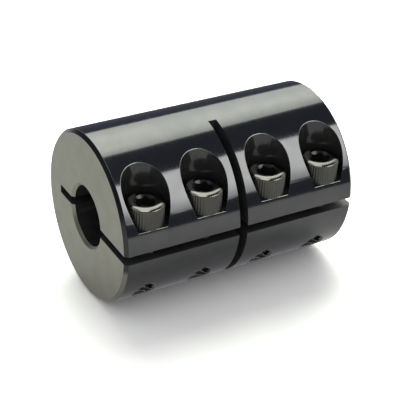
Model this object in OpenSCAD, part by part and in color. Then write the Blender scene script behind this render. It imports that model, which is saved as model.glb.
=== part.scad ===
// Rigid shaft coupling: a one-piece slit clamp body drawn tight on two shafts by four socket head screws.
// Frame: bore axis on Z, bottom end face at Z = 0, slit toward +X, screw heads toward +Y. Sizes in mm.

/* [Body] */
// Outside diameter of the body
body_d = 27; // [25:0.5:34]
// Overall length of the body
body_l = 39.7; // [37:0.1:60]
// Diameter of the bore that takes both shafts
bore_d = 9.525; // [6:0.005:10.5]
// Chamfer on the outer edge of each end
end_chamfer = 0.5; // [0.2:0.05:1]
// Chamfer at each mouth of the bore
bore_chamfer = 0.45; // [0.2:0.05:1]

/* [Saw cuts] */
// Width of the clamping slit, which runs the full length
slit_w = 1.4; // [0.8:0.05:1.8]
// Metal left as the hinge between the end of the slit and the far side
hinge_wall = 4.45; // [3:0.05:6]
// Width of the cross cut that parts the two clamping halves
cross_w = 1.4; // [0.8:0.05:1.8]
// Distance from the bore axis to the floor of the cross cut
cross_floor = 2.4; // [0:0.1:4]

/* [Screw places] */
// Distance from the outside of the body in to the screw axes
screw_edge = 3.3; // [3:0.05:3.8]
// Height of the screw seats above the middle of the slit
seat_h = 3.95; // [3:0.05:4.5]
// Distance from each end face to the nearest screw axis
end_screw_inset = 4.7; // [4.4:0.05:5]
// Distance from mid-length to the screw axes beside the cross cut
mid_screw_offset = 5.5; // [5:0.05:6]
// Gap between a screw head and the wall of its counterbore
head_gap = 0.73; // [0.3:0.01:0.9]
// Gap between a screw shank and its clearance hole in the head side
shank_gap = 0.15; // [0.1:0.01:0.3]
// Gap between a screw shank and its tapped hole, drawn plain
thread_gap = 0.05; // [0.02:0.01:0.1]

/* [Screws] */
// Outside diameter of the thread, drawn as a plain shank
thread_d = 3.5; // [3:0.1:4]
// Length of a screw under its head
screw_l = 9.5; // [8:0.1:10]
// Chamfer at the tip of a screw
tip_chamfer = 0.4; // [0.2:0.05:0.8]
// Diameter over the knurl of a head
head_d = 5.74; // [5.5:0.01:6.2]
// Height of a head
head_h = 3.5; // [3:0.05:4]
// Chamfer round the top of a head
head_chamfer = 0.4; // [0.2:0.05:0.5]
// Number of knurl ridges round a head
knurl_count = 44; // [30:1:60]
// Depth of the knurl grooves
knurl_depth = 0.08; // [0.05:0.01:0.2]
// Width across flats of the hexagon socket
socket_af = 2.78; // [2.4:0.01:3]
// Depth of the hexagon socket to the ends of its flats
socket_depth = 1.7; // [1:0.1:2]
// Widening of the socket at its mouth
socket_chamfer = 0.12; // [0.05:0.01:0.2]
// Depth of the drill point below the socket
drill_point = 0.6; // [0.3:0.1:0.8]
// Turn of each screw as tightened, from +X toward +Z, bottom screw first
screw_turns = [35, 11, 36, 26];

/* [Hidden] */
$fn = 96;
// Reach of the cutting shapes past the faces they cut
past = 1;
body_r = body_d / 2;
bore_r = bore_d / 2;
mid_z = body_l / 2;
slit_floor = hinge_wall - body_r;
screw_x = body_r - screw_edge;
screw_z = [
    end_screw_inset,
    mid_z - mid_screw_offset,
    mid_z + mid_screw_offset,
    body_l - end_screw_inset,
];
head_r = head_d / 2;
thread_r = thread_d / 2;
counterbore_r = head_r + head_gap;
socket_r = socket_af / 2 / cos(30);

// Half section of the turned blank, with its bore and its four chamfers
module blank() {
    rotate_extrude()
        polygon([
            [bore_r, bore_chamfer],
            [bore_r + bore_chamfer, 0],
            [body_r - end_chamfer, 0],
            [body_r, end_chamfer],
            [body_r, body_l - end_chamfer],
            [body_r - end_chamfer, body_l],
            [bore_r + bore_chamfer, body_l],
            [bore_r, body_l - bore_chamfer],
        ]);
}

// Full-length slit: opens the +X side, crosses the bore and stops at the hinge
module slit_cut() {
    translate([slit_floor, -slit_w / 2, -past])
        cube([body_r - slit_floor + past, slit_w, body_l + 2 * past]);
}

// Cross cut at mid-length, so that each half clamps by itself
module cross_cut() {
    translate([cross_floor, -body_r - past, mid_z - cross_w / 2])
        cube([body_r - cross_floor + past, body_d + 2 * past, cross_w]);
}

// Stepped hole for one screw, drawn on its own axis with the seat at Z = 0
module screw_hole() {
    cylinder(r = counterbore_r, h = body_d);
    translate([0, 0, -seat_h])
        cylinder(r = thread_r + shank_gap, h = seat_h + past);
    translate([0, 0, -seat_h - body_d])
        cylinder(r = thread_r + thread_gap, h = body_d + past);
}

// Knurled rod that a head is cut from
module knurled_rod() {
    linear_extrude(height = head_h)
        polygon([
            for (i = [0:2 * knurl_count - 1])
                let (turn = i * 180 / knurl_count, r = head_r - (i % 2) * knurl_depth)
                    [r * cos(turn), r * sin(turn)]
        ]);
}

// One screw on its own axis: head above Z = 0, shank below
module screw() {
    difference() {
        union() {
            intersection() {
                knurled_rod();
                rotate_extrude()
                    polygon([
                        [0, 0],
                        [head_r - knurl_depth, 0],
                        [head_r + knurl_depth, 2 * knurl_depth],
                        [head_r + knurl_depth, head_h - head_chamfer - knurl_depth],
                        [head_r - head_chamfer, head_h],
                        [0, head_h],
                    ]);
            }
            rotate_extrude()
                polygon([
                    [0, -screw_l],
                    [thread_r - tip_chamfer, -screw_l],
                    [thread_r, -screw_l + tip_chamfer],
                    [thread_r, head_h / 2],
                    [0, head_h / 2],
                ]);
        }
        translate([0, 0, head_h - socket_depth])
            cylinder(r = socket_r, h = socket_depth + past, $fn = 6);
        translate([0, 0, head_h - socket_depth - drill_point])
            cylinder(r1 = 0, r2 = socket_af / 2, h = drill_point);
        translate([0, 0, head_h - socket_chamfer])
            cylinder(r1 = socket_r - socket_chamfer, r2 = socket_r + past, h = socket_chamfer + past);
    }
}

// Puts a child drawn on a screw's own axis at each of the four screw places
module at_screws() {
    for (i = [0:len(screw_z) - 1])
        translate([screw_x, seat_h, screw_z[i]])
            rotate([-90, 0, 0])
                rotate([0, 0, -screw_turns[i]])
                    children();
}

// Clamp body, one piece of steel
module coupling_body() {
    color([0.16, 0.16, 0.17])
        difference() {
            blank();
            slit_cut();
            cross_cut();
            at_screws() screw_hole();
        }
}

// The four clamp screws
module clamp_screws() {
    color([0.22, 0.22, 0.21])
        at_screws() screw();
}

coupling_body();
clamp_screws();
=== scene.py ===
# Rigid shaft coupling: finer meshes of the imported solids, in polished black oxide steel, in a white studio.
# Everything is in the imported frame: bore axis on Z, slit toward +X, screw heads toward +Y.
# The meshes are built in millimetres and scaled to metres at the end. The studio is placed in metres.
import math

import bmesh
import bpy
from mathutils import Matrix, Vector


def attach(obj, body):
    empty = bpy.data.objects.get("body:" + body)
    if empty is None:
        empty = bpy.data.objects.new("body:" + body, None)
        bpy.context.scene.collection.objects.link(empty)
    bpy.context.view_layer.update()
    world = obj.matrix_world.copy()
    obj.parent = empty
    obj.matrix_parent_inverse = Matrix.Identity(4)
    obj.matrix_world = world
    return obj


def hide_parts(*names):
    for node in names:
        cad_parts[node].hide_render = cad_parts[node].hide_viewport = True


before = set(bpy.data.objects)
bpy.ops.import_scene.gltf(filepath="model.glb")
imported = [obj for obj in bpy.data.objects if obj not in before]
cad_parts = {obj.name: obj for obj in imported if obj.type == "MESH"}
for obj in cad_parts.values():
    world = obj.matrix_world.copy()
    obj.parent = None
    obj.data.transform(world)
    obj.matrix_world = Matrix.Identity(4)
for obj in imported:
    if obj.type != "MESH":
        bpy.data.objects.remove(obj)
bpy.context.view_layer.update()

MM = 0.001
INCH = 25.4

# Body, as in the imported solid
BODY_R = 27 / 2
BODY_L = 39.7
BORE_R = 9.525 / 2
END_CHAMFER = 0.5
BORE_CHAMFER = 0.45
SLIT_HALF = 1.4 / 2
HINGE_WALL = 4.45
SLIT_FLOOR = HINGE_WALL - BODY_R
CROSS_HALF = 1.4 / 2
CROSS_FLOOR = 2.4
MID_Z = BODY_L / 2

# Screw heads
HEAD_R = 5.74 / 2
HEAD_H = 3.5
KNURL_COUNT = 44
KNURL_DEPTH = 0.08
# Rounding of a head's rim: how far in over the top and how far down the side
RIM_WIDTH = 0.95
RIM_HEIGHT = 0.42
# Hexagon socket, its mouth a little wider than its corners, and how steeply the mouth narrows to the flats
SOCKET_FLAT = 2.78 / 2
SOCKET_DEPTH = 1.7
SOCKET_WIDENING = 0.12
SOCKET_MOUTH_R = SOCKET_FLAT / math.cos(math.pi / 6) + SOCKET_WIDENING
FLARE_SLOPE = 1.2
# Drill point below the socket, and the small flat that closes it
DRILL_POINT = 0.6
DRILL_TIP_R = 0.0695

# Screw shanks, with 32 threads to the inch
SCREW_L = 9.5
TIP_CHAMFER = 0.4
THREAD_R = 3.5 / 2
THREAD_DEPTH = 0.42
THREAD_PITCH = INCH / 32
# Form of the thread: its flat root as a share of the pitch, and how steeply its flanks rise from there
ROOT_SHARE = 0.2
FLANK_SLOPE = 1.5

# Screw places, and the gaps round a screw
SCREW_EDGE = 3.3
SCREW_X = BODY_R - SCREW_EDGE
SEAT_Y = 3.95
END_INSET = 4.7
MID_OFFSET = 5.5
SCREW_Z = (END_INSET, MID_Z - MID_OFFSET, MID_Z + MID_OFFSET, BODY_L - END_INSET)
SCREW_TURNS = (35, 11, 36, 26)
HEAD_GAP = 0.73
SHANK_GAP = 0.15
THREAD_GAP = 0.05
POCKET_R = HEAD_R + HEAD_GAP
CLEARANCE_R = THREAD_R + SHANK_GAP
TAPPED_R = THREAD_R + THREAD_GAP

# Rounding of the tumbled edges, and the slope at which a rounding leaves the outer face
EDGE_ROUND = 0.08
EDGE_END = math.radians(72)
# How far in from the outside a rounded edge reaches
EDGE_REACH = 1.2 * EDGE_ROUND
# Rounding at the mouths of the tapped holes
TAPPED_ROUND = 0.24

# Steps round the body, a pocket, a screw hole and a thread, and rows of points for one pitch
BODY_STEPS = 288
POCKET_STEPS = 120
HOLE_STEPS = 64
THREAD_STEPS = 48
THREAD_ROWS = 10
# Steps for one knurl ridge, and the head's steps for one of the shank's
KNURL_STEPS = 6
SHANK_SHARE = 4
# Steps of the roundings
EDGE_STEPS = 4
CORNER_STEPS = 2
RIM_STEPS = 9

# How far the cutting shapes reach past what they cut, and past a screw's seat
PAST = 2.0
SEAT_PAST = 0.5
# Rise from one ring of a pocket to the next where its rim is cut away, so that no two rings lie together
RING_RISE = 0.002
# Height that a rim is given where its hole reaches past the widest place of the body
LEAST_RIM = 0.1
# How far a mesh point may lie off the surface that it belongs to, and when two points are one
SLACK = 0.004
MERGE = 1e-5


# Mesh helpers

def add_grid(bm, rows):
    """Joins rows of points, all of one length, with quads. Each row ends where it starts."""
    made = [[bm.verts.new(point) for point in row] for row in rows]
    count = len(rows[0])
    for low, high in zip(made, made[1:]):
        for i in range(count):
            j = (i + 1) % count
            bm.faces.new((low[i], low[j], high[j], high[i]))
    return made


def add_solid(bm, rings):
    """A closed solid from rings of points, capped at both ends."""
    made = add_grid(bm, rings)
    bm.faces.new(list(reversed(made[0])))
    bm.faces.new(made[-1])


def add_prism(bm, outline, start, end):
    """A closed solid: an outline carried from start to end, two offsets in space."""
    add_solid(bm, [[point + start for point in outline], [point + end for point in outline]])


def mesh_object(name, bm):
    """A new object holding the mesh, with all its faces facing out."""
    bmesh.ops.recalc_face_normals(bm, faces=bm.faces)
    mesh = bpy.data.meshes.new(name)
    bm.to_mesh(mesh)
    bm.free()
    made = bpy.data.objects.new(name, mesh)
    bpy.context.scene.collection.objects.link(made)
    return made


def subtract(target, cutter):
    """Cuts the cutter out of the target and removes it."""
    cut = target.modifiers.new("cut", "BOOLEAN")
    cut.operation = "DIFFERENCE"
    cut.solver = "EXACT"
    cut.object = cutter
    graph = bpy.context.evaluated_depsgraph_get()
    result = bpy.data.meshes.new_from_object(target.evaluated_get(graph))
    target.modifiers.clear()
    target.data = result
    bpy.data.objects.remove(cutter)


def turns(steps):
    """Angles of even steps round a full turn."""
    return [2 * math.pi * i / steps for i in range(steps)]


def ring(radii, heights):
    """Points in even steps about the Z axis, each with its own radius and height."""
    steps = zip(radii, heights, turns(len(radii)))
    return [Vector((r * math.cos(t), r * math.sin(t), z)) for r, z, t in steps]


def circle(radius, height, steps):
    """Points of a circle about the Z axis."""
    return ring([radius] * steps, [height] * steps)


def edge_rounding(radius):
    """Rounding of an edge, with a short straight end, as pairs of distances from the edge:
    the depth below it on the inner wall, and the way out over the outer face."""
    pairs = []
    for i in range(EDGE_STEPS + 1):
        t = EDGE_END * i / EDGE_STEPS
        pairs.append((radius * (1 - math.sin(t)), radius * (1 - math.cos(t))))
    depth, out = pairs[-1]
    run = radius / 2
    pairs.append((depth - run * math.cos(EDGE_END), out + run * math.sin(EDGE_END)))
    return pairs


def rounded_corner(before, corner, after, radius):
    """Points of an arc that replaces the corner of an outline."""
    to_before = (before - corner).normalized()
    to_after = (after - corner).normalized()
    half = to_before.angle(to_after) / 2
    reach = radius / math.tan(half)
    centre = corner + (to_before + to_after).normalized() * radius / math.sin(half)
    start = corner + to_before * reach - centre
    end = corner + to_after * reach - centre
    shares = [i / CORNER_STEPS for i in range(CORNER_STEPS + 1)]
    return [centre + start.slerp(end, share).normalized() * radius for share in shares]


def to_place(point, number):
    """From a screw's own axis, seat at height 0, to its place in the body."""
    turn = math.radians(-SCREW_TURNS[number])
    x = point.x * math.cos(turn) - point.y * math.sin(turn)
    y = point.x * math.sin(turn) + point.y * math.cos(turn)
    return Vector((SCREW_X + x, SEAT_Y + point.z, SCREW_Z[number] - y))


def in_place(rows, number):
    """Rows of points drawn on a screw's own axis, in their place in the body."""
    return [[to_place(point, number) for point in row] for row in rows]


# Body

def body_blank():
    """Turned blank with its bore and chamfers, each chamfer edge slightly rounded."""
    outline = [
        Vector((BORE_R, 0, BORE_CHAMFER)),
        Vector((BORE_R + BORE_CHAMFER, 0, 0)),
        Vector((BODY_R - END_CHAMFER, 0, 0)),
        Vector((BODY_R, 0, END_CHAMFER)),
        Vector((BODY_R, 0, BODY_L - END_CHAMFER)),
        Vector((BODY_R - END_CHAMFER, 0, BODY_L)),
        Vector((BORE_R + BORE_CHAMFER, 0, BODY_L)),
        Vector((BORE_R, 0, BODY_L - BORE_CHAMFER)),
    ]
    section = []
    for i, corner in enumerate(outline):
        before = outline[i - 1]
        after = outline[(i + 1) % len(outline)]
        section += rounded_corner(before, corner, after, EDGE_ROUND)
    rings = [circle(point.x, point.z, BODY_STEPS) for point in section]
    bm = bmesh.new()
    add_grid(bm, rings + rings[:1])
    bmesh.ops.remove_doubles(bm, verts=bm.verts, dist=MERGE)
    return mesh_object("coupling_body_visual", bm)


def saw_cutter(floor, half, low, high):
    """A saw cut with sharp edges, open toward +X: from its floor out, half to each side on Y,
    and from low to high on Z."""
    reach = BODY_R + PAST
    corners = [(floor, -half), (reach, -half), (reach, half), (floor, half)]
    outline = [Vector((x, y, 0)) for x, y in corners]
    bm = bmesh.new()
    add_prism(bm, outline, Vector((0, 0, low)), Vector((0, 0, high)))
    return mesh_object("cutter", bm)


def slit_cutter():
    """Full-length slit, which crosses the bore and stops at the hinge."""
    return saw_cutter(SLIT_FLOOR, SLIT_HALF, -PAST, BODY_L + PAST)


def cross_cutter():
    """Cross cut at mid-length."""
    return saw_cutter(CROSS_FLOOR, BODY_R + PAST, MID_Z - CROSS_HALF, MID_Z + CROSS_HALF)


def rim_point(radius, turn, side):
    """A point where a hole about a screw axis leaves the body's outside, and the way out over that face.
    side is +1 on the head side and -1 on the tip side. Z is measured from the screw axis."""
    x = SCREW_X + radius * math.cos(turn)
    y = math.sqrt(max(BODY_R ** 2 - x ** 2, LEAST_RIM ** 2))
    slope = radius * math.sin(turn) * x / y
    along = Vector((-radius * math.sin(turn), slope, radius * math.cos(turn))).normalized()
    normal = Vector((x, y, 0)).normalized()
    out = along.cross(normal)
    if out.dot(Vector((math.cos(turn), 0, math.sin(turn)))) < 0:
        out = -out
    point = Vector((x, y * side, radius * math.sin(turn)))
    return point, Vector((out.x, out.y * side, out.z))


def pocket_rings():
    """Rings of one screw pocket, from its seat up, with its rim rounded. The pocket is open toward +X."""
    around = turns(POCKET_STEPS)
    rings = [[Vector((SCREW_X + POCKET_R * math.cos(t), SEAT_Y, POCKET_R * math.sin(t))) for t in around]]
    for number, (depth, out) in enumerate(edge_rounding(EDGE_ROUND), 1):
        floor = SEAT_Y + RING_RISE * number
        points = []
        for turn in around:
            edge, away = rim_point(POCKET_R, turn, 1)
            if edge.y < floor + RING_RISE:
                flat = Vector((math.cos(turn), 0, math.sin(turn)))
                point = Vector((edge.x, floor, edge.z)) + flat * out
            else:
                point = edge + away * out - Vector((0, depth, 0))
                point.y = max(point.y, floor)
            points.append(point)
        rings.append(points)
    rings.append([Vector((point.x, BODY_R + PAST, point.z)) for point in rings[-1]])
    return rings


def pocket_cutter():
    """The four screw pockets."""
    bm = bmesh.new()
    for z in SCREW_Z:
        shift = Vector((0, 0, z))
        add_solid(bm, [[point + shift for point in points] for points in pocket_rings()])
    return mesh_object("cutter", bm)


def seat_edge_cutter():
    """Rounds the straight front edge of each screw seat."""
    edge_x = math.sqrt(BODY_R ** 2 - SEAT_Y ** 2)
    half = math.sqrt(POCKET_R ** 2 - (edge_x - SCREW_X) ** 2)
    down = Vector((SEAT_Y, -edge_x, 0)).normalized()
    corner = Vector((edge_x, SEAT_Y, 0))
    outline = [corner + Vector((-depth, 0, 0)) + down * out for depth, out in edge_rounding(EDGE_ROUND)]
    outline.append(outline[-1] + Vector((PAST, 0, 0)))
    outline.append(Vector((outline[-1].x, SEAT_Y + EDGE_ROUND, 0)))
    outline.append(Vector((outline[0].x, SEAT_Y + EDGE_ROUND, 0)))
    bm = bmesh.new()
    for z in SCREW_Z:
        add_prism(bm, outline, Vector((0, 0, z - half)), Vector((0, 0, z + half)))
    return mesh_object("cutter", bm)


def thread_radius(turn, height):
    """Radius of the screw thread at a turn and height: a V with a flat root and crest, which fades out
    over one pitch below the seat."""
    phase = (height / THREAD_PITCH - turn / (2 * math.pi)) % 1
    ridge = min(max((abs(2 * phase - 1) - ROOT_SHARE) * FLANK_SLOPE, 0), 1)
    fade = min(max(-height / THREAD_PITCH, 0), 1)
    return THREAD_R - THREAD_DEPTH * (1 - ridge) * fade


def clearance_cutter():
    """The plain holes from the seats down to the slit."""
    rings = [circle(CLEARANCE_R, height, HOLE_STEPS) for height in (-SEAT_Y, SEAT_PAST)]
    bm = bmesh.new()
    for number in range(len(SCREW_Z)):
        add_solid(bm, in_place(rings, number))
    return mesh_object("cutter", bm)


def tapped_rim_cutter():
    """Rounds the mouths of the tapped holes on the outside."""
    bm = bmesh.new()
    for z in SCREW_Z:
        rings = []
        for depth, out in edge_rounding(TAPPED_ROUND):
            points = []
            for turn in turns(HOLE_STEPS):
                edge, away = rim_point(TAPPED_R, turn, -1)
                points.append(edge + away * out + Vector((0, depth, z)))
            rings.append(points)
        rings.append([Vector((point.x, -BODY_R - PAST, point.z)) for point in rings[-1]])
        add_solid(bm, rings)
    return mesh_object("cutter", bm)


def tapped_cutter():
    """The tapped holes from the slit out through the tip side, with their threads."""
    count = math.ceil(BODY_R / THREAD_PITCH * THREAD_ROWS)
    rings = []
    for i in range(count + 1):
        height = -SEAT_Y - BODY_R * i / count
        radii = [thread_radius(turn, height) + THREAD_GAP for turn in turns(THREAD_STEPS)]
        rings.append(ring(radii, [height] * THREAD_STEPS))
    bm = bmesh.new()
    for number in range(len(SCREW_Z)):
        add_solid(bm, in_place(rings, number))
    return mesh_object("cutter", bm)


def make_body():
    """The whole body: the blank with every cut, as one closed mesh."""
    made = body_blank()
    subtract(made, slit_cutter())
    subtract(made, cross_cutter())
    subtract(made, pocket_cutter())
    subtract(made, seat_edge_cutter())
    subtract(made, clearance_cutter())
    subtract(made, tapped_rim_cutter())
    subtract(made, tapped_cutter())
    return made


# Screws

def knurl_radius(step):
    """Radius of the knurled rod at one of its steps: straight ridges with V grooves."""
    phase = step % KNURL_STEPS / KNURL_STEPS
    return HEAD_R - KNURL_DEPTH * (1 - abs(2 * phase - 1))


def hexagon_radius(turn):
    """Distance from the axis to the wall of the hexagon socket."""
    off_flat = (turn % (math.pi / 3)) - math.pi / 6
    return SOCKET_FLAT / math.cos(off_flat)


def head_rows():
    """Rows of a head from its seat, up the knurl, over the rounded rim and down into the socket."""
    count = KNURL_COUNT * KNURL_STEPS
    envelope = [
        (HEAD_R - KNURL_DEPTH, 0),
        (HEAD_R, KNURL_DEPTH),
        (HEAD_R, HEAD_H - RIM_HEIGHT - KNURL_DEPTH),
    ]
    for i in range(RIM_STEPS + 1):
        t = math.pi / 2 * i / RIM_STEPS
        rise = HEAD_H - RIM_HEIGHT * (1 - math.sin(t))
        envelope.append((HEAD_R - RIM_WIDTH * (1 - math.cos(t)), rise))
    rows = []
    for limit, height in envelope:
        radii = [min(limit, knurl_radius(i)) for i in range(count)]
        rows.append(ring(radii, [height] * count))
    rows.append(circle(SOCKET_MOUTH_R, HEAD_H, count))
    walls = [hexagon_radius(turn) for turn in turns(count)]
    lip = [HEAD_H - (SOCKET_MOUTH_R - wall) * FLARE_SLOPE for wall in walls]
    floor = HEAD_H - SOCKET_DEPTH
    rows.append(ring(walls, lip))
    rows.append(ring(walls, [floor] * count))
    rows.append(circle(SOCKET_FLAT, floor, count))
    rows.append(circle(DRILL_TIP_R, floor - DRILL_POINT, count))
    return rows


def shank_rows():
    """Rows of a shank from the head down to the tip, with its thread."""
    count = KNURL_COUNT * KNURL_STEPS // SHANK_SHARE
    steps = math.ceil(SCREW_L / THREAD_PITCH * THREAD_ROWS)
    rows = []
    for i in range(steps + 1):
        height = -SCREW_L * i / steps
        limit = THREAD_R - TIP_CHAMFER + min(height + SCREW_L, TIP_CHAMFER)
        radii = [min(limit, thread_radius(turn, height)) for turn in turns(count)]
        rows.append(ring(radii, [height] * count))
    return rows


def make_screw(number):
    """One clamp screw in its place, as one closed mesh."""
    bm = bmesh.new()
    head = add_grid(bm, in_place(head_rows(), number))
    shank = add_grid(bm, in_place(shank_rows(), number))
    bm.faces.new(head[-1])
    bm.faces.new(shank[-1])
    count = len(shank[0])
    for i in range(count):
        first = i * SHANK_SHARE
        rim = [head[0][(first + k) % len(head[0])] for k in range(SHANK_SHARE + 1)]
        bm.faces.new([shank[0][i], *rim, shank[0][(i + 1) % count]])
    return mesh_object(f"clamp_screw_{number + 1}", bm)


# Nodes of materials

def new_material(name):
    """A new material, and its emptied node tree."""
    material = bpy.data.materials.new(name)
    material.use_nodes = True
    material.node_tree.nodes.clear()
    return material, material.node_tree


def set_surface(tree, shader):
    """Wires a shader to the material's surface."""
    output = tree.nodes.new("ShaderNodeOutputMaterial")
    tree.links.new(shader, output.inputs["Surface"])


def place_of(tree):
    """Place in the object's own coordinates, in metres."""
    return tree.nodes.new("ShaderNodeTexCoord").outputs["Object"]


def parts_of(tree, vector):
    """The vector's X, Y and Z, by name."""
    made = tree.nodes.new("ShaderNodeSeparateXYZ")
    tree.links.new(vector, made.inputs["Vector"])
    return made.outputs


def stretched(tree, vector, factors):
    """The vector times a factor on each axis."""
    made = tree.nodes.new("ShaderNodeVectorMath")
    made.operation = "MULTIPLY"
    made.inputs[1].default_value = factors
    tree.links.new(vector, made.inputs[0])
    return made.outputs["Vector"]


def calculate(tree, operation, first, second):
    """Result of a sum on another node's value and a second value or a number."""
    made = tree.nodes.new("ShaderNodeMath")
    made.operation = operation
    tree.links.new(first, made.inputs[0])
    if isinstance(second, bpy.types.NodeSocket):
        tree.links.new(second, made.inputs[1])
    else:
        made.inputs[1].default_value = second
    return made.outputs["Value"]


def noise(tree, vector, scale, detail):
    """A noise texture's value."""
    made = tree.nodes.new("ShaderNodeTexNoise")
    made.inputs["Scale"].default_value = scale
    made.inputs["Detail"].default_value = detail
    tree.links.new(vector, made.inputs["Vector"])
    return made.outputs["Fac"]


# The range that holds most of a noise texture's values
SPREAD_FROM = (0.3, 0.7)


def spread(tree, value, low, high):
    """The value's middle range carried to low and high."""
    made = tree.nodes.new("ShaderNodeMapRange")
    made.inputs["From Min"].default_value = SPREAD_FROM[0]
    made.inputs["From Max"].default_value = SPREAD_FROM[1]
    made.inputs["To Min"].default_value = low
    made.inputs["To Max"].default_value = high
    tree.links.new(value, made.inputs["Value"])
    return made.outputs["Result"]


def ramp(tree, value, start, share, reach):
    """A share that rises from the given one to the whole, over a reach from the start."""
    made = tree.nodes.new("ShaderNodeMapRange")
    made.interpolation_type = "SMOOTHSTEP"
    made.inputs["From Min"].default_value = start
    made.inputs["From Max"].default_value = start + reach
    made.inputs["To Min"].default_value = share
    made.inputs["To Max"].default_value = 1
    tree.links.new(value, made.inputs["Value"])
    return made.outputs["Result"]


def tint(tree, value, dark, light):
    """A colour between two, by the value."""
    made = tree.nodes.new("ShaderNodeMix")
    made.data_type = "RGBA"
    made.inputs["A"].default_value = (*dark, 1)
    made.inputs["B"].default_value = (*light, 1)
    tree.links.new(value, made.inputs["Factor"])
    return next(socket for socket in made.outputs if socket.type == "RGBA")


def mark_lines(tree, across, along, rings):
    """Texture coordinates for tool marks: fine across the marks and slow along them, per millimetre.
    rings is true for marks in circles on an end face, and false for marks round the body."""
    place = stretched(tree, place_of(tree), (1 / MM, 1 / MM, 1 / MM))
    if not rings:
        return stretched(tree, place, (along, along, across))
    flat = stretched(tree, place, (1, 1, 0))
    radius = tree.nodes.new("ShaderNodeVectorMath")
    radius.operation = "LENGTH"
    tree.links.new(flat, radius.inputs[0])
    slow = parts_of(tree, stretched(tree, flat, (along, along, along)))
    joined = tree.nodes.new("ShaderNodeCombineXYZ")
    tree.links.new(calculate(tree, "MULTIPLY", radius.outputs["Value"], across), joined.inputs["X"])
    tree.links.new(slow["X"], joined.inputs["Y"])
    tree.links.new(slow["Y"], joined.inputs["Z"])
    return joined.outputs["Vector"]


# Finishes

# Reflection at a glancing angle, as a share of bare metal's
EDGE_TINT = (0.9, 0.9, 0.92, 1)
# Oxide mottle and fine grain, in waves per millimetre, and how many finer layers each noise has
MOTTLE_SCALE = 0.35
MOTTLE_DETAIL = 5
GRAIN_SCALE = 9
GRAIN_DETAIL = 2
MARKS_DETAIL = 3
# Share of the grain in the relief and the roughness; the rest is tool marks
GRAIN_SHARE = 0.5


def black_oxide(name, dark, light, rough, across, along, relief, rings=False, metal=1, fade=None):
    """Blackened steel: mottled oxide over tool marks. rough is a pair, and relief the marks' height in mm.
    across, along and rings lay the marks, as in mark_lines. fade, a start and a reach on Y in mm, sets the
    colours by place and not by mottle: light below it and dark above, a painted reflection of the lit
    floor below and of the dark surroundings above."""
    material, tree = new_material(name)
    shader = tree.nodes.new("ShaderNodeBsdfPrincipled")
    set_surface(tree, shader.outputs["BSDF"])
    shader.inputs["Metallic"].default_value = metal
    shader.inputs["Specular Tint"].default_value = EDGE_TINT
    place = place_of(tree)
    # Painted reflection: the colour is lighter low on Y, toward the lit floor, and darker above, toward the
    # dark surroundings
    if fade:
        start, reach = fade
        above = ramp(tree, parts_of(tree, place)["Y"], start * MM, 0, reach * MM)
        share = spread(tree, above, 1, 0)
    else:
        share = spread(tree, noise(tree, place, MOTTLE_SCALE / MM, MOTTLE_DETAIL), 0, 1)
    tree.links.new(tint(tree, share, dark, light), shader.inputs["Base Color"])
    marks = noise(tree, mark_lines(tree, across, along, rings), 1, MARKS_DETAIL)
    grain = noise(tree, place, GRAIN_SCALE / MM, GRAIN_DETAIL)
    grain_part = calculate(tree, "MULTIPLY", grain, GRAIN_SHARE)
    marks_part = calculate(tree, "MULTIPLY", marks, 1 - GRAIN_SHARE)
    surface = calculate(tree, "ADD", grain_part, marks_part)
    tree.links.new(spread(tree, surface, *rough), shader.inputs["Roughness"])
    bump = tree.nodes.new("ShaderNodeBump")
    bump.inputs["Strength"].default_value = 1
    bump.inputs["Distance"].default_value = relief * MM
    tree.links.new(surface, bump.inputs["Height"])
    tree.links.new(bump.outputs["Normal"], shader.inputs["Normal"])
    return material


POLISHED, TURNED, EDGE, CUT, SAWN, CHAMFER = range(6)


def body_materials():
    """The body's six finishes, in the order of the numbers above."""
    return [
        black_oxide("oxide_polished", (0.09, 0.091, 0.093), (0.104, 0.105, 0.107), (0.08, 0.14),
                    across=9, along=0.15, relief=0.0003),
        black_oxide("oxide_turned", (0.255, 0.253, 0.213), (0.296, 0.293, 0.247), (0.36, 0.46),
                    across=7, along=0.1, relief=0.0012, rings=True),
        black_oxide("oxide_edge", (0.16, 0.16, 0.155), (0.2, 0.2, 0.195), (0.16, 0.26),
                    across=5, along=0.5, relief=0.0004),
        black_oxide("oxide_cut", (0.045, 0.046, 0.046), (0.068, 0.068, 0.067), (0.1, 0.16),
                    across=6, along=0.4, relief=0.0004, metal=0.4),
        black_oxide("oxide_sawn", (0.045, 0.045, 0.047), (0.06, 0.06, 0.062), (0.34, 0.45),
                    across=6, along=0.4, relief=0.001, metal=0.2),
        # End chamfers: a painted reflection, light toward the floor and dark above, in place of the oxide's
        # mottle
        black_oxide("oxide_chamfer_painted_reflection", (0.05, 0.051, 0.052), (0.21, 0.208, 0.176), (0.2, 0.3),
                    across=6, along=0.4, relief=0.0005, fade=(-4, 3.5)),
    ]


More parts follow.
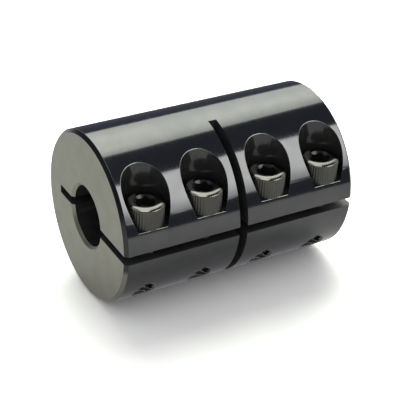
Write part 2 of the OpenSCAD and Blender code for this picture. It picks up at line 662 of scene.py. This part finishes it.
def body_finish_of(mesh, polygon):
    """Which of the body's finishes a face has, by where it lies."""
    points = [mesh.vertices[i].co for i in polygon.vertices]
    lowest_r = min(math.hypot(p.x, p.y) for p in points)
    lowest_z = min(p.z for p in points)
    highest_z = max(p.z for p in points)
    highest_y = max(p.y for p in points)
    if lowest_r > BODY_R - SLACK:
        return POLISHED
    at_end = highest_z < END_CHAMFER + EDGE_ROUND or lowest_z > BODY_L - END_CHAMFER - EDGE_ROUND
    if at_end:
        # The end chamfers take the finish with the painted reflection
        return CHAMFER if lowest_r > BODY_R - END_CHAMFER - EDGE_ROUND / 2 else TURNED
    off_axis = max(abs(p.x - SCREW_X) for p in points)
    in_tapped_hole = highest_y < -SLIT_HALF and off_axis < CLEARANCE_R + TAPPED_ROUND
    if in_tapped_hole or lowest_r > BODY_R - EDGE_REACH:
        return EDGE
    in_slit = max(abs(p.y) for p in points) < SLIT_HALF + SLACK
    at_middle = max(abs(p.z - MID_Z) for p in points) < CROSS_HALF + SLACK
    in_cross = at_middle and min(p.x for p in points) > CROSS_FLOOR - SLACK
    return SAWN if in_slit or in_cross else CUT


SHINY, DULL, SOCKET_PAINTED_SHADE = range(3)


def screw_materials():
    """The screws' three finishes, in the order of the numbers above."""
    return [
        black_oxide("oxide_screw", (0.105, 0.1035, 0.093), (0.125, 0.1225, 0.11), (0.1, 0.17),
                    across=4, along=0.6, relief=0.0005),
        black_oxide("oxide_knurl", (0.092, 0.09, 0.08), (0.115, 0.112, 0.1), (0.36, 0.5),
                    across=4, along=0.6, relief=0.0008, metal=0.75),
        # Socket: darker than the rest of the screw, painted shade in the hole and its mouth
        black_oxide("oxide_socket_painted_shade", (0.03, 0.03, 0.029), (0.042, 0.042, 0.04), (0.2, 0.3),
                    across=4, along=0.6, relief=0.0005, metal=0.5),
    ]


def screw_finish_of(polygon, number):
    """Which of the screws' finishes a face of a screw has: its knurl and shank are dull, and its socket is
    darker than the head, painted shade in the hole.
    """
    height = polygon.center.y - SEAT_Y
    off_axis = math.hypot(polygon.center.x - SCREW_X, polygon.center.z - SCREW_Z[number])
    on_knurl = height < HEAD_H - RIM_HEIGHT and off_axis > HEAD_R - 2 * KNURL_DEPTH
    if height < 0 or on_knurl:
        return DULL
    return SOCKET_PAINTED_SHADE if height < HEAD_H - SLACK and off_axis < SOCKET_MOUTH_R else SHINY


# Pieces

# Where two faces turn by more than this, in degrees, the edge between them looks sharp
BODY_SHARP = 8
SCREW_SHARP = 28


def dress(piece, node, sharp_degrees):
    """Scales a finished piece to metres, shades it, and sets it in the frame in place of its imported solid."""
    piece.data.transform(Matrix.Scale(MM, 4))
    piece.data.shade_smooth()
    piece.data.set_sharp_from_angle(angle=math.radians(sharp_degrees))
    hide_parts(node)
    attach(piece, "root")


def add_body():
    """The body, with a finish on each face."""
    body = make_body()
    for material in body_materials():
        body.data.materials.append(material)
    for polygon in body.data.polygons:
        polygon.material_index = body_finish_of(body.data, polygon)
    dress(body, "coupling_body", BODY_SHARP)


def add_screws():
    """The four screws, with a finish on each face."""
    materials = screw_materials()
    for number in range(len(SCREW_Z)):
        screw = make_screw(number)
        for material in materials:
            screw.data.materials.append(material)
        for polygon in screw.data.polygons:
            polygon.material_index = screw_finish_of(polygon, number)
        dress(screw, "clamp_screws", SCREW_SHARP)


# Studio
# The picture shows the coupling on its side, so its floor touches the body's side, square to FLOOR_UP.

FLOOR_UP = Vector((-0.0776, 0.997, 0)).normalized()
FLOOR_SIZE = 3.0
FLOOR_LOW = -BODY_R * MM
MIDDLE = Vector((0, 0, MID_Z)) * MM

# Camera: places in mm, and the lens and the sensor in mm too
EYE = Vector((147.84, 105.83, 108.93)) * MM
LOOK_AT = Vector((-7.84, -8.09, 14.97)) * MM
EYE_UP = Vector((-0.4835, 0.846, -0.2246))
LENS = 115.42
SENSOR_WIDTH = 36
# Nearest and farthest that the camera sees, in metres
CLIP_START = 0.01
CLIP_END = 10

# Directions on the floor, toward the eye and to its right
to_eye = EYE - MIDDLE
TOWARD = (to_eye - FLOOR_UP * to_eye.dot(FLOOR_UP)).normalized()
RIGHT = FLOOR_UP.cross(TOWARD)

# Colour of the floor in the light that it throws back, and to the eye, which sees the open floor as white
FLOOR_COLOUR = (0.73, 0.73, 0.73)
FLOOR_SEEN = (1.98, 1.98, 1.98)
# Painted light: a glow that only mirrors see on the floor, so that the metal mirrors the floor lighter even
# where it is in shadow
FLOOR_GLOW = 0.24
# Light of the surroundings on what is not a mirror
FILL = 0.42

# Dark cloths and bright cards, as the metal mirrors them
CLOTH = (0.128, 0.144, 0.18, 1)
PAPER = (1, 1, 0.985, 1)
WARM_PAPER = (0.965, 1, 0.9, 1)
SIDE_LEVEL = 4.3
TOP_LEVEL = 4.5
CLOTH_LEVEL = 1
# Height of the top card, and its shift toward the eye
TOP_HEIGHT = 0.45
TOP_SHIFT = 0.06
# Shift of the back cloth along its own width
BACK_CLOTH_SHIFT = -0.009
# Distance of the cloth that darkens the gap between the bright bands
GAP_CLOTH_DISTANCE = 2.2


def direction(azimuth, elevation):
    """A direction from the coupling: azimuth 0 is toward the eye and 90 to the right, in degrees."""
    a = math.radians(azimuth)
    e = math.radians(elevation)
    return (TOWARD * math.cos(a) + RIGHT * math.sin(a)) * math.cos(e) + FLOOR_UP * math.sin(e)


def facing(location, target, up):
    """Matrix of a thing at the location whose -Z looks at the target, with its Y toward up."""
    back = (location - target).normalized()
    side = up.cross(back).normalized()
    top = back.cross(side)
    turn = Matrix((side, top, back)).transposed().to_4x4()
    return Matrix.Translation(location) @ turn


def add_camera():
    """The photograph's eye."""
    data = bpy.data.cameras.new("camera")
    data.sensor_width = SENSOR_WIDTH
    data.lens = LENS
    data.clip_start = CLIP_START
    data.clip_end = CLIP_END
    camera = bpy.data.objects.new("camera", data)
    bpy.context.scene.collection.objects.link(camera)
    camera.matrix_world = facing(EYE, LOOK_AT, EYE_UP)
    bpy.context.scene.camera = camera


def add_plane(name, matrix, width, height, material):
    """A flat rectangle that isn't part of the object."""
    bm = bmesh.new()
    corners = [(-1, -1), (1, -1), (1, 1), (-1, 1)]
    bm.faces.new([bm.verts.new((x * width / 2, y * height / 2, 0)) for x, y in corners])
    mesh = bpy.data.meshes.new(name)
    bm.to_mesh(mesh)
    bm.free()
    plane = bpy.data.objects.new(name, mesh)
    bpy.context.scene.collection.objects.link(plane)
    plane.matrix_world = matrix
    plane.data.materials.append(material)
    return plane


def floor_material():
    """White paper, seen from its front only, so that a view from below the floor shows the coupling."""
    material, tree = new_material("floor_paper")
    path = tree.nodes.new("ShaderNodeLightPath")
    paper = tree.nodes.new("ShaderNodeBsdfDiffuse")
    colour = tint(tree, path.outputs["Is Camera Ray"], FLOOR_COLOUR, FLOOR_SEEN)
    tree.links.new(colour, paper.inputs["Color"])
    # Painted light for mirrors: the floor glows to glossy rays only, which lightens its shadow where the metal
    # mirrors it
    glow = tree.nodes.new("ShaderNodeEmission")
    level = calculate(tree, "MULTIPLY", path.outputs["Is Glossy Ray"], FLOOR_GLOW)
    tree.links.new(level, glow.inputs["Strength"])
    lit = tree.nodes.new("ShaderNodeAddShader")
    tree.links.new(paper.outputs["BSDF"], lit.inputs[0])
    tree.links.new(glow.outputs["Emission"], lit.inputs[1])
    clear = tree.nodes.new("ShaderNodeBsdfTransparent")
    side = tree.nodes.new("ShaderNodeNewGeometry")
    pick = tree.nodes.new("ShaderNodeMixShader")
    tree.links.new(side.outputs["Backfacing"], pick.inputs["Fac"])
    tree.links.new(lit.outputs["Shader"], pick.inputs[1])
    tree.links.new(clear.outputs["BSDF"], pick.inputs[2])
    set_surface(tree, pick.outputs["Shader"])
    return material


def add_floor():
    """Floor under the side that the coupling lies on."""
    centre = MIDDLE - FLOOR_UP * BODY_R * MM
    matrix = facing(centre, centre - FLOOR_UP, Vector((0, 0, 1)))
    add_plane("floor", matrix, FLOOR_SIZE, FLOOR_SIZE, floor_material())


def upright(azimuth, distance, low, high, turn=0):
    """Matrix of an upright panel that faces the coupling, turned about its own upright, and its height.
    low and high are above the bore axis."""
    foot = MIDDLE + direction(azimuth, 0) * distance
    middle = foot + FLOOR_UP * (low + high) / 2
    back = direction(azimuth + turn, 0)
    return facing(middle, middle - back, FLOOR_UP), high - low


def add_card(name, matrix, width, height, colour, level, foot=(1, 1), edge=(1, 1), lights=False):
    """A glowing panel, as set round polished steel in a studio. The camera doesn't see it, but what
    mirrors it shows it, and where lights is true it lights the floor too. foot and edge give the share
    of the level left at the lower edge and at the edge of smaller azimuth, and the distance from there
    to the full level."""
    material, tree = new_material(name)
    place = parts_of(tree, place_of(tree))
    rising = ramp(tree, place["Y"], -height / 2, *foot)
    crossing = ramp(tree, place["X"], -width / 2, *edge)
    share = calculate(tree, "MULTIPLY", rising, crossing)
    glow = tree.nodes.new("ShaderNodeEmission")
    glow.inputs["Color"].default_value = colour
    tree.links.new(calculate(tree, "MULTIPLY", share, level), glow.inputs["Strength"])
    set_surface(tree, glow.outputs["Emission"])
    card = add_plane(name, matrix, width, height, material)
    card.visible_camera = False
    card.visible_diffuse = lights
    card.visible_shadow = False


def add_cards():
    """The bright cards round the coupling."""
    matrix, height = upright(azimuth=180, distance=0.45, low=0.1, high=2.0)
    add_card("back_card", matrix, width=0.584, height=height, colour=WARM_PAPER, level=SIDE_LEVEL,
             foot=(0.52, 0.35), edge=(0.65, 0.2), lights=True)
    matrix, height = upright(azimuth=73, distance=0.5, low=0.06, high=0.67)
    add_card("right_card", matrix, width=0.404, height=height, colour=PAPER, level=SIDE_LEVEL,
             foot=(0.5, 0.19))
    below = MIDDLE + TOWARD * TOP_SHIFT
    matrix = facing(below + FLOOR_UP * TOP_HEIGHT, below, TOWARD)
    add_card("top_card", matrix, width=0.2, height=0.28, colour=PAPER, level=TOP_LEVEL)


def add_cloths():
    """The dark cloths round the coupling."""
    matrix, height = upright(azimuth=180, distance=0.1, low=FLOOR_LOW, high=0.0459, turn=50)
    matrix = matrix @ Matrix.Translation((BACK_CLOTH_SHIFT, 0, 0))
    add_card("back_cloth", matrix, width=0.122, height=height, colour=CLOTH, level=CLOTH_LEVEL)
    matrix, height = upright(azimuth=60, distance=0.1, low=FLOOR_LOW, high=0.017)
    add_card("right_cloth", matrix, width=0.2, height=height, colour=CLOTH, level=CLOTH_LEVEL)
    matrix, height = upright(azimuth=0, distance=0.5, low=0, high=0.9)
    add_card("front_cloth", matrix, width=1.1, height=height, colour=CLOTH, level=CLOTH_LEVEL)
    matrix, height = upright(azimuth=268, distance=0.6, low=0.03, high=0.6)
    add_card("left_cloth", matrix, width=1.4, height=height, colour=CLOTH, level=CLOTH_LEVEL)
    away = direction(azimuth=115, elevation=66)
    matrix = facing(MIDDLE + away * GAP_CLOTH_DISTANCE, MIDDLE, FLOOR_UP)
    add_card("gap_cloth", matrix, width=2.75, height=1.93, colour=CLOTH, level=CLOTH_LEVEL)


def set_world():
    """Surroundings that are white to the eye and in mirrors, with less light from them on the floor."""
    world = bpy.data.worlds.new("studio")
    bpy.context.scene.world = world
    world.use_nodes = True
    tree = world.node_tree
    shade = tree.nodes["Background"]
    shade.inputs["Color"].default_value = (1, 1, 1, 1)
    path = tree.nodes.new("ShaderNodeLightPath")
    seen = calculate(tree, "MAXIMUM", path.outputs["Is Camera Ray"], path.outputs["Is Glossy Ray"])
    seen = calculate(tree, "MAXIMUM", seen, path.outputs["Is Transmission Ray"])
    strength = tree.nodes.new("ShaderNodeMapRange")
    strength.inputs["To Min"].default_value = FILL
    strength.inputs["To Max"].default_value = 1
    tree.links.new(seen, strength.inputs["Value"])
    tree.links.new(strength.outputs["Result"], shade.inputs["Strength"])


add_body()
add_screws()
add_camera()
add_floor()
add_cards()
add_cloths()
set_world()
bpy.context.scene.view_settings.view_transform = "Standard"
